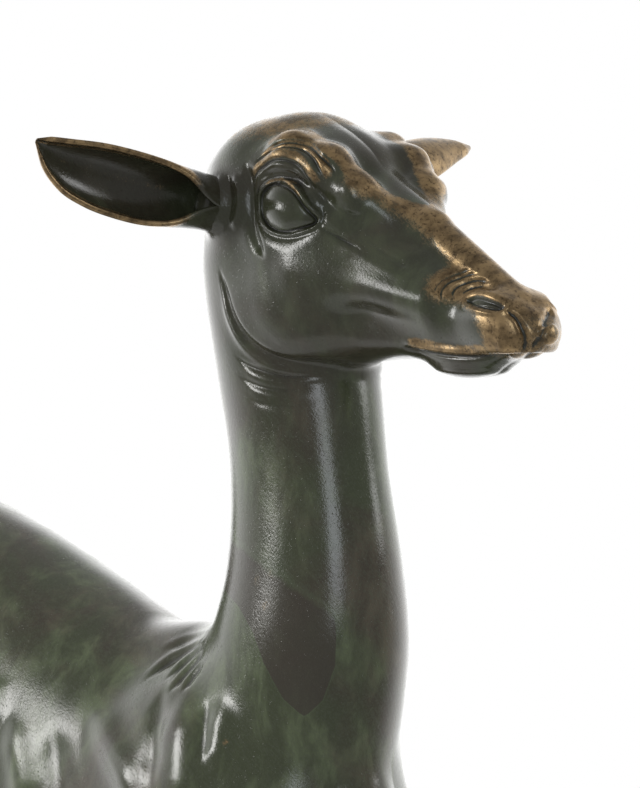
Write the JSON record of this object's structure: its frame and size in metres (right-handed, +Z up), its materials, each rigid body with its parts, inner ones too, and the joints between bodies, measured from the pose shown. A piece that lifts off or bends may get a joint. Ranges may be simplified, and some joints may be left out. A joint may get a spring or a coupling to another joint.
{
  "type": "bronze deer figure",
  "caption": "Standing doe in patinated hollow-cast bronze with spread ears, an upright neck and slender legs bolted to a shallow rectangular bronze plinth.",
  "frame": {"origin": "on the surface the plinth's pads rest on, under the middle of the figure's box", "axes": "+X the way the doe faces, +Y its left side, +Z up"},
  "size_m": [0.5416, 0.2312, 0.7461],
  "materials": {
    "patinated_bronze": "waxed dark green-brown patina, rubbed to gold on the high points",
    "plinth_bronze": "waxed dark brown patina, rubbed edges",
    "raw_bronze": "turned and cast bronze, unpatinated, inside the figure",
    "steel": "zinc-plated steel fasteners",
    "felt": "dense green wool felt"
  },
  "bodies": {
    "root": {"belly_core_door": "patinated_bronze", "core_door_screws": "steel", "core_plugs": "patinated_bronze", "felt_pads": "felt", "head_shell": "patinated_bronze", "hoof_nuts": "steel", "hoof_studs": "steel", "hoof_washers": "steel", "left_ear": "patinated_bronze", "left_ear_pin": "raw_bronze", "left_foreleg": "patinated_bronze", "left_foreleg_pin": "raw_bronze", "left_hind_leg": "patinated_bronze", "left_hind_leg_pin": "raw_bronze", "neck_base_pins": "raw_bronze", "neck_base_sleeve": "raw_bronze", "neck_shell": "patinated_bronze", "plinth": "plinth_bronze", "right_ear": "patinated_bronze", "right_ear_pin": "raw_bronze", "right_foreleg": "patinated_bronze", "right_foreleg_pin": "raw_bronze", "right_hind_leg": "patinated_bronze", "right_hind_leg_pin": "raw_bronze", "tail": "patinated_bronze", "tail_pin": "raw_bronze", "throat_pins": "raw_bronze", "throat_sleeve": "raw_bronze", "torso_shell": "patinated_bronze"}
  },
  "joints": []
}
